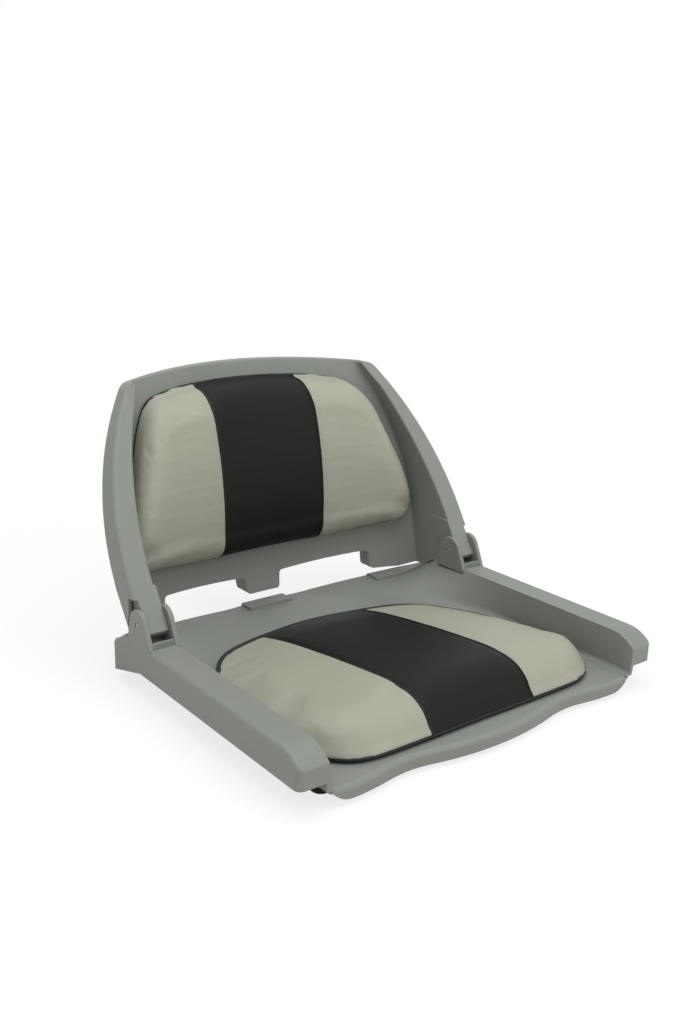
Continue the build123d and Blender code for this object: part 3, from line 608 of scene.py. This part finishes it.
@dataclass
class Pad:
    """One upholstered pad: a swollen form cut into three vinyl panels with piped seams."""

    finishes: Finishes
    name: str
    body: str
    # Direction out of the board
    outward: Vector
    # Two places (x, y) on the upright plane of the right seam
    seam_front: tuple[float, float]
    seam_rear: tuple[float, float]
    voxel: float = 5 * MM
    # How often and how strongly the start form is smoothed
    smoothings: int = 5
    smooth_factor: float = 0.5
    # Height over which swelling, grooves and ripples set in above the held layer
    blend_height: float = 12 * MM
    # How far the vinyl's lowest part stands out round the rim, to cover most of the board's edge,
    # and how far its faces may lean towards the outward direction to count as the rim
    rim_cover: float = 1.5 * MM
    rim_slant: float = 0.7
    # Air pressure of the cloth, the farthest that a point may move, and the frames simulated
    pressure: float = 4.0
    swell_cap: float = 3.2 * MM
    frames: int = 20
    # The pulled-in groove along a seam, its piping, and the faint ripples between the seams
    groove_depth: float = 1.3 * MM
    groove_width: float = 4.0 * MM
    piping_radius: float = 1.35 * MM
    ripple_depth: float = 0.25 * MM
    ripple_length: float = 45 * MM
    ripple_width: float = 6 * MM
    # Edges sharper than this, in degrees, are shaded sharp
    sharp_angle: float = 50.0
    # Share of the CAD's soft form that a panel fills
    fill: float = 0.85

    def rise(self, point: Vector) -> float:
        """Measure how far a point lies out of the plane or bow on which the pad is seated.

        Args:
            point: A place in the part's frame.

        Returns:
            The distance, negative on the board side.
        """
        raise NotImplementedError

    def is_seated(self, point: Vector) -> bool:
        """Tell whether a point lies on the board side of the pad, where it is held.

        Args:
            point: A place in the part's frame.

        Returns:
            True where the pad is held.
        """
        return self.rise(point) < 0

    def freedom(self, point: Vector) -> float:
        """Give the share of its movement that a point is left, smoothly from none at the seat.

        Args:
            point: A place in the part's frame.

        Returns:
            A share from 0 to 1.
        """
        share = min(1.0, max(0.0, self.rise(point) / self.blend_height))
        return share * share * (3 - 2 * share)

    def seam_plane(self, side: Side) -> tuple[Vector, Vector]:
        """Give the upright plane of one seam.

        Args:
            side: Which of the two seams.

        Returns:
            A point on the plane and its normal, which points to +X.
        """
        front = Vector((side.value * self.seam_front[0], self.seam_front[1], 0))
        rear = Vector((side.value * self.seam_rear[0], self.seam_rear[1], 0))
        along = (rear - front).normalized()
        return front, Vector((along.y, -along.x, 0))

    def start_form(self) -> bpy.types.Object:
        """Join the foam and its board into one even, softened mesh, ready to swell.

        Returns:
            The start form.
        """
        form = copy_nodes(f"{self.name}_form", f"{self.name}_foam", f"{self.name}_board")
        apply_modifier(form, "REMESH", mode="VOXEL", voxel_size=self.voxel)
        apply_modifier(
            form, "SMOOTH", factor=self.smooth_factor, iterations=self.smoothings
        )
        return form

    def swell(self, form: bpy.types.Object) -> None:
        """Blow the form up as cloth, held at its seat, and cap how far each point moves.

        Args:
            form: The start form, changed in place.
        """
        start = [v.co.copy() for v in form.data.vertices]
        held = form.vertex_groups.new(name="held")
        held.add([v.index for v in form.data.vertices if self.is_seated(v.co)], 1.0, "REPLACE")
        cloth = form.modifiers.new("Swell", "CLOTH")
        settings = cloth.settings
        settings.use_pressure = True
        settings.uniform_pressure_force = self.pressure
        settings.vertex_group_mass = held.name
        settings.effector_weights.gravity = 0.0
        cloth.point_cache.frame_start = 1
        cloth.point_cache.frame_end = self.frames
        for number in range(1, self.frames + 1):
            bpy.context.scene.frame_set(number)
        select_only(form)
        bpy.ops.object.modifier_apply(modifier=cloth.name)
        form.vertex_groups.clear()
        for vertex, place in zip(form.data.vertices, start):
            move = vertex.co - place
            cap = self.swell_cap * self.freedom(place)
            if move.length > cap:
                vertex.co = place + move.normalized() * cap
        apply_modifier(form, "SUBSURF", levels=1, render_levels=1)

    def ease(self, form: bpy.types.Object) -> None:
        """Draw the vinyl down at the seams, ripple it faintly and stand its rim out a little.

        Args:
            form: The swollen form, changed in place.
        """
        planes = [self.seam_plane(side) for side in Side]
        normals = [vertex.normal.copy() for vertex in form.data.vertices]
        for vertex, upright in zip(form.data.vertices, normals):
            slant = upright.dot(self.outward)
            if abs(slant) < self.rim_slant:
                sideways = (upright - self.outward * slant).normalized()
                vertex.co += sideways * self.rim_cover * (1 - self.freedom(vertex.co))
            if slant < 0:
                continue
            near = min(abs((vertex.co - origin).dot(normal)) for origin, normal in planes)
            groove = self.groove_depth * math.exp(-((near / self.groove_width) ** 2))
            spot = Vector(
                (
                    vertex.co.x / self.ripple_length,
                    vertex.co.y / self.ripple_length,
                    vertex.co.z / self.ripple_width,
                )
            )
            ripple = self.ripple_depth * noise.noise(spot)
            vertex.co += upright * (ripple - groove) * self.freedom(vertex.co)

    def cut_panel(self, form: bpy.types.Object, panel: Panel) -> bpy.types.Object:
        """Cut one panel, closed at its seams, out of a copy of the form.

        Args:
            form: The whole pad.
            panel: Which panel.

        Returns:
            The panel.
        """
        piece = duplicate(form, f"{self.name}_panel_{panel.value}")
        cuts = {
            Panel.LEFT: [(Side.LEFT, 1)],
            Panel.CENTRE: [(Side.LEFT, -1), (Side.RIGHT, 1)],
            Panel.RIGHT: [(Side.RIGHT, -1)],
        }
        select_only(piece)
        bpy.ops.object.mode_set(mode="EDIT")
        for side, sign in cuts[panel]:
            origin, normal = self.seam_plane(side)
            bpy.ops.mesh.select_all(action="SELECT")
            bpy.ops.mesh.bisect(
                plane_co=origin, plane_no=normal * sign, use_fill=True, clear_outer=True
            )
        bpy.ops.object.mode_set(mode="OBJECT")
        select_only(piece)
        bpy.ops.object.shade_smooth_by_angle(angle=math.radians(self.sharp_angle))
        return piece

    def pipe_seam(self, form: bpy.types.Object, side: Side) -> bpy.types.Object:
        """Lay the piping of one seam along the cut through the form.

        Args:
            form: The whole pad.
            side: Which seam.

        Returns:
            The piping.
        """
        origin, normal = self.seam_plane(side)
        piece = duplicate(form, f"{self.name}_piping_{side.name.lower()}")
        select_only(piece)
        bpy.ops.object.mode_set(mode="EDIT")
        bpy.ops.mesh.select_all(action="SELECT")
        bpy.ops.mesh.bisect(
            plane_co=origin, plane_no=normal, use_fill=False, clear_inner=True, clear_outer=True
        )
        bpy.ops.mesh.select_all(action="DESELECT")
        bpy.ops.object.mode_set(mode="OBJECT")
        for vertex in piece.data.vertices:
            vertex.select = self.is_seated(vertex.co)
        bpy.ops.object.mode_set(mode="EDIT")
        bpy.ops.mesh.delete(type="VERT")
        bpy.ops.object.mode_set(mode="OBJECT")
        bpy.ops.object.convert(target="CURVE")
        line = bpy.context.view_layer.objects.active
        line.data.bevel_depth = self.piping_radius
        line.data.bevel_resolution = 3
        line.data.use_fill_caps = True
        bpy.ops.object.convert(target="MESH")
        piping = bpy.context.view_layer.objects.active
        bpy.ops.object.shade_smooth()
        return piping

    def build(self) -> None:
        """Build the pad's panels and piping and put them in place of the CAD's covers and foam."""
        form = self.start_form()
        self.swell(form)
        self.ease(form)
        vinyls = {
            Panel.LEFT: ("vinyl_light", self.finishes.light_vinyl),
            Panel.CENTRE: ("vinyl_dark", self.finishes.dark_vinyl),
            Panel.RIGHT: ("vinyl_light", self.finishes.light_vinyl),
        }
        for panel in Panel:
            piece = self.cut_panel(form, panel)
            nodes = [f"{self.name}_cover_{panel.value}"]
            if panel is Panel.CENTRE:
                nodes.append(f"{self.name}_foam")
            slot, material = vinyls[panel]
            finish_piece(piece, self.body, slot, material, *nodes)
        for side in Side:
            piping = self.pipe_seam(form, side)
            finish_piece(
                piping, self.body, "vinyl_dark", self.finishes.piping, f"{self.name}_welts"
            )
        remove(form)


@dataclass
class SeatPad(Pad):
    """The pad in the pan."""

    name: str = "seat"
    body: str = "base"
    outward: Vector = field(default_factory=lambda: Vector((0, 0, 1)))
    seam_front: tuple[float, float] = (73.5 * MM, -185.5 * MM)
    seam_rear: tuple[float, float] = (80.0 * MM, 371.9 * MM)
    # Height below which the pad is held
    seat_height: float = 23.5 * MM

    def rise(self, point: Vector) -> float:
        """Measure the height over the level at which the vinyl turns under.

        Args:
            point: A place in the part's frame.

        Returns:
            The height, negative below that level.
        """
        return point.z - self.seat_height


@dataclass
class BackPad(Pad):
    """The pad on the folding back's bowed, leaning panel."""

    name: str = "back"
    body: str = "back"
    outward: Vector = field(default_factory=lambda: Vector((0, -1, PANEL_LEAN)).normalized())
    seam_front: tuple[float, float] = (76.0 * MM, -185.5 * MM)
    seam_rear: tuple[float, float] = (76.0 * MM, 371.9 * MM)
    panel_place: tuple[float, float] = (258.0 * MM, 56.0 * MM)
    panel_lean: float = PANEL_LEAN
    panel_bow_radius: float = 465.0 * MM
    # Depth of the layer on the panel that is held
    seat_depth: float = 3.5 * MM

    def rise(self, point: Vector) -> float:
        """Measure how far a point lies in front of the held layer on the panel.

        Args:
            point: A place in the part's frame.

        Returns:
            The distance, negative inside the held layer.
        """
        return self.panel_front(point.x, point.z) - point.y - self.seat_depth

    def panel_front(self, x: float, z: float) -> float:
        """Find the front of the bowed, leaning panel.

        Args:
            x: Place across the seat.
            z: Height.

        Returns:
            The place along Y.
        """
        bow = self.panel_bow_radius - math.sqrt(self.panel_bow_radius**2 - x**2)
        return self.panel_place[0] + self.panel_lean * (z - self.panel_place[1]) - bow


@dataclass
class Hardware:
    """Pins, bushes, feet, inserts, T-nuts and boards, whose CAD shapes are right and stay."""

    finishes: Finishes

    def dress(self) -> None:
        """Give each small part its finish."""
        stock = {
            "hinge_pin_left": self.finishes.steel,
            "hinge_pin_right": self.finishes.steel,
            "hinge_bush_left": self.finishes.nylon,
            "hinge_bush_right": self.finishes.nylon,
            "rubber_feet": self.finishes.rubber,
            "mount_inserts": self.finishes.brass,
            "seat_board": self.finishes.board,
            "back_board": self.finishes.board,
            "seat_tnuts": self.finishes.steel,
            "back_tnuts": self.finishes.steel,
        }
        for node, material in stock.items():
            paint(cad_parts[node], material)
            log.info("%s: dressed", node)


@dataclass
class PadScrews:
    """The pan-head screws that hold both pads, each with a cross recess in its domed head."""

    finishes: Finishes
    head_radius: float = 6.5 * MM
    head_height: float = 3.2 * MM
    shank_radius: float = 3.0 * MM
    shank_length: float = 10.3 * MM
    recess_length: float = 6.4 * MM
    recess_width: float = 1.5 * MM
    recess_depth: float = 1.9 * MM
    dome_rise: float = 0.9 * MM
    # Width of each ring of the dome as a share of the last one, and its share of the rise
    dome_steps: tuple[tuple[float, float], ...] = ((0.88, 0.45), (0.62, 0.4), (0.3, 0.15))
    head_sides: int = 32
    sharp_angle: float = 35.0
    # Thickness of both mouldings, distance of the screws from the middle, top of the pan's floor
    wall: float = 4.0 * MM
    across: float = 110.0 * MM
    seat_top: float = 20.0 * MM
    # Places of the screws along Y under the pan, and along Z behind the back
    seat_rows: tuple[float, float] = (-95.0 * MM, 84.0 * MM)
    back_rows: tuple[float, float] = (135.0 * MM, 262.0 * MM)

    def one_screw(self) -> bpy.types.Object:
        """Model one screw at the origin, its head below and its shank pointing to +Z.

        Returns:
            The screw.
        """
        bpy.ops.object.select_all(action="DESELECT")
        bpy.ops.mesh.primitive_cylinder_add(
            vertices=self.head_sides,
            radius=self.head_radius,
            depth=self.head_height - self.dome_rise,
            location=(0, 0, -(self.head_height - self.dome_rise) / 2),
        )
        screw = bpy.context.view_layer.objects.active
        screw.name = "screw_master"
        bpy.ops.object.transform_apply(location=True, rotation=True, scale=True)
        self.grow_face(screw, -1, self.dome_steps, self.dome_rise)
        self.grow_face(screw, 1, ((self.shank_radius / self.head_radius, 0.0),), 0.0)
        self.grow_face(screw, 1, ((1.0, 1.0),), self.shank_length)
        for turn in (0, 90):
            bpy.ops.object.select_all(action="DESELECT")
            bpy.ops.mesh.primitive_cube_add(
                size=1.0,
                location=(0, 0, -self.head_height),
                rotation=(0, 0, math.radians(turn)),
                scale=(self.recess_length, self.recess_width, 2 * self.recess_depth),
            )
            blade = bpy.context.view_layer.objects.active
            apply_modifier(screw, "BOOLEAN", operation="DIFFERENCE", object=blade, solver="EXACT")
            remove(blade)
        select_only(screw)
        bpy.ops.object.shade_smooth_by_angle(angle=math.radians(self.sharp_angle))
        return screw

    def grow_face(
        self,
        screw: bpy.types.Object,
        direction: int,
        steps: tuple[tuple[float, float], ...],
        length: float,
    ) -> None:
        """Extrude the lowest or highest flat face of the screw in scaled steps.

        Args:
            screw: The screw.
            direction: -1 for the lowest face and 1 for the highest.
            steps: For each step the new width as a share, and the share of the length.
            length: The whole length grown.
        """
        select_only(screw)
        bpy.ops.object.mode_set(mode="EDIT")
        bpy.ops.mesh.select_mode(type="FACE")
        bpy.ops.mesh.select_all(action="DESELECT")
        bpy.ops.object.mode_set(mode="OBJECT")
        faces = screw.data.polygons
        end = max(faces, key=lambda face: (direction * face.center.z, face.area))
        end.select = True
        bpy.ops.object.mode_set(mode="EDIT")
        for width, share in steps:
            bpy.ops.mesh.extrude_region_move(
                TRANSFORM_OT_translate={"value": (0, 0, direction * share * length)}
            )
            bpy.ops.transform.resize(value=(width, width, 1), center_override=(0, 0, 0))
        bpy.ops.object.mode_set(mode="OBJECT")

    def set_screws(self, name: str, body: str, places: list[Matrix], node: str) -> None:
        """Copy the screw to its places and join the copies into one piece.

        Args:
            name: The piece's name.
            body: The body it rides on.
            places: One matrix for each screw.
            node: The CAD node it stands for.
        """
        master = self.one_screw()
        copies = []
        for place in places:
            copy = duplicate(master, name)
            copy.data.transform(place)
            copies.append(copy)
        remove(master)
        select_only(*copies)
        bpy.ops.object.join()
        screws = bpy.context.view_layer.objects.active
        screws.name = name
        finish_piece(screws, body, "steel", self.finishes.steel, node)

    def build(self) -> None:
        """Set the screws under the pan and behind the back."""
        under = [
            Matrix.Translation((side.value * self.across, row, self.seat_top - self.wall))
            for side in Side
            for row in self.seat_rows
        ]
        self.set_screws("seat_pad_screws", "base", under, "seat_screws")
        panel = BackPad(self.finishes)
        behind = []
        for side in Side:
            for row in self.back_rows:
                x = side.value * self.across
                slope = self.across / math.sqrt(panel.panel_bow_radius**2 - self.across**2)
                out = Vector((-side.value * slope, -1, panel.panel_lean)).normalized()
                spot = Vector((x, panel.panel_front(x, row), row)) - out * self.wall
                turn = out.to_track_quat("Z", "Y").to_matrix().to_4x4()
                behind.append(Matrix.Translation(spot) @ turn)
        self.set_screws("back_pad_screws", "back", behind, "back_screws")


@dataclass(frozen=True)
class Softbox:
    """One square studio lamp: where it hangs, what it points at, its size and its watts."""

    name: str
    place: tuple[float, float, float]
    target: tuple[float, float, float]
    size: float
    power: float

    def hang(self) -> None:
        """Hang the lamp."""
        data = bpy.data.lights.new(self.name, "AREA")
        data.shape = "SQUARE"
        data.size = self.size
        data.energy = self.power
        lamp = bpy.data.objects.new(self.name, data)
        bpy.context.scene.collection.objects.link(lamp)
        lamp.location = self.place
        aim = Vector(self.target) - Vector(self.place)
        lamp.rotation_euler = aim.to_track_quat("-Z", "Y").to_euler()


@dataclass
class Studio:
    """Pale floor, soft lamps and the camera at the photograph's place."""

    floor_height: float = -2.0 * MM
    floor_size: float = 12.0
    floor_colour: str = "#f4f4f2"
    # Share of plain white in what the camera sees of the floor, full from a distance on
    floor_glow: float = 0.78
    fade_start: float = 0.3
    fade_end: float = 1.2
    camera_place: tuple[float, float, float] = (-0.7548, -0.8760, 0.5542)
    azimuth: float = -37.99
    elevation: float = 16.75
    roll: float = 1.43
    # The lens and the sensor's long side in mm, as Blender takes them
    lens: float = 37.68
    sensor: float = 36.0
    nearest: float = 0.05
    farthest: float = 40.0
    world_level: float = 0.55
    lamps: tuple[Softbox, ...] = (
        Softbox("overhead_softbox", (-0.2, -0.3, 2.2), (0.0, 0.0, 0.1), 2.2, 38.0),
        Softbox("front_softbox", (0.9, -2.2, 1.3), (0.0, 0.0, 0.15), 1.6, 16.0),
    )

    def build(self) -> None:
        """Set up the whole studio."""
        bpy.context.scene.view_settings.view_transform = "Standard"
        self.place_camera()
        self.lay_floor()
        self.light_world()
        for lamp in self.lamps:
            lamp.hang()

    def place_camera(self) -> None:
        """Put the camera where the photograph was taken from."""
        azimuth, elevation, roll = (
            math.radians(angle) for angle in (self.azimuth, self.elevation, self.roll)
        )
        back = Vector(
            (
                math.sin(azimuth) * math.cos(elevation),
                -math.cos(azimuth) * math.cos(elevation),
                math.sin(elevation),
            )
        )
        right = Vector((0, 0, 1)).cross(back).normalized()
        up = back.cross(right)
        across = right * math.cos(roll) + up * math.sin(roll)
        above = up * math.cos(roll) - right * math.sin(roll)
        data = bpy.data.cameras.new("studio_camera")
        data.lens = self.lens
        data.sensor_width = self.sensor
        data.clip_start = self.nearest
        data.clip_end = self.farthest
        camera = bpy.data.objects.new("studio_camera", data)
        bpy.context.scene.collection.objects.link(camera)
        turn = Matrix((across, above, back)).transposed().to_4x4()
        camera.matrix_world = Matrix.Translation(self.camera_place) @ turn
        bpy.context.scene.camera = camera

    def lay_floor(self) -> None:
        """Lay the pale floor that the seat's feet stand on."""
        bpy.ops.object.select_all(action="DESELECT")
        bpy.ops.mesh.primitive_plane_add(size=self.floor_size, location=(0, 0, self.floor_height))
        floor = bpy.context.view_layer.objects.active
        floor.name = "studio_floor"
        material = bpy.data.materials.new("pale_floor")
        material.use_nodes = True
        tree = material.node_tree
        tree.nodes.clear()
        pale = add_node(
            material,
            "ShaderNodeBsdfDiffuse",
            {"Color": linear(self.floor_colour), "Roughness": 1.0},
        )
        glow = add_node(
            material, "ShaderNodeEmission", {"Color": linear(WHITE), "Strength": 1.0}
        )
        rays = add_node(material, "ShaderNodeLightPath")
        place = add_node(material, "ShaderNodeTexCoord")
        distance = add_node(
            material,
            "ShaderNodeVectorMath",
            {},
            {0: place.outputs["Object"]},
            operation="LENGTH",
        )
        fade = add_node(
            material,
            "ShaderNodeMapRange",
            {
                "From Min": self.fade_start,
                "From Max": self.fade_end,
                "To Min": self.floor_glow,
                "To Max": 1.0,
            },
            {"Value": distance.outputs["Value"]},
            interpolation_type="SMOOTHSTEP",
        )
        seen = add_node(
            material,
            "ShaderNodeMath",
            {},
            {0: rays.outputs["Is Camera Ray"], 1: fade.outputs["Result"]},
            operation="MULTIPLY",
        )
        mix = add_node(
            material,
            "ShaderNodeMixShader",
            {},
            {0: seen.outputs[0], 1: pale.outputs[0], 2: glow.outputs[0]},
        )
        add_node(material, "ShaderNodeOutputMaterial", {}, {"Surface": mix.outputs[0]})
        paint(floor, material)

    def light_world(self) -> None:
        """Light the studio evenly and show white behind everything."""
        world = bpy.data.worlds.new("studio_world")
        world.use_nodes = True
        bpy.context.scene.world = world
        world.node_tree.nodes.clear()
        rays = add_node(world, "ShaderNodeLightPath")
        seen = add_node(
            world,
            "ShaderNodeMath",
            {},
            {0: rays.outputs["Is Camera Ray"], 1: rays.outputs["Is Glossy Ray"]},
            operation="MAXIMUM",
        )
        shown = add_node(
            world,
            "ShaderNodeMath",
            {},
            {0: seen.outputs[0], 1: rays.outputs["Is Transmission Ray"]},
            operation="MAXIMUM",
        )
        soft = add_node(
            world,
            "ShaderNodeBackground",
            {"Color": linear(WHITE), "Strength": self.world_level},
        )
        white = add_node(
            world, "ShaderNodeBackground", {"Color": linear(WHITE), "Strength": 1.0}
        )
        mix = add_node(
            world,
            "ShaderNodeMixShader",
            {},
            {0: shown.outputs[0], 1: soft.outputs[0], 2: white.outputs[0]},
        )
        add_node(world, "ShaderNodeOutputWorld", {}, {"Surface": mix.outputs[0]})


def main() -> None:
    """Build every sub-assembly in order."""
    logging.basicConfig(level=logging.INFO, format="%(message)s")
    Studio().build()
    finishes = Finishes()
    Mouldings(finishes).dress()
    Hardware(finishes).dress()
    PadScrews(finishes).build()
    SeatPad(finishes).build()
    BackPad(finishes).build()


if __name__ == "__main__":
    main()
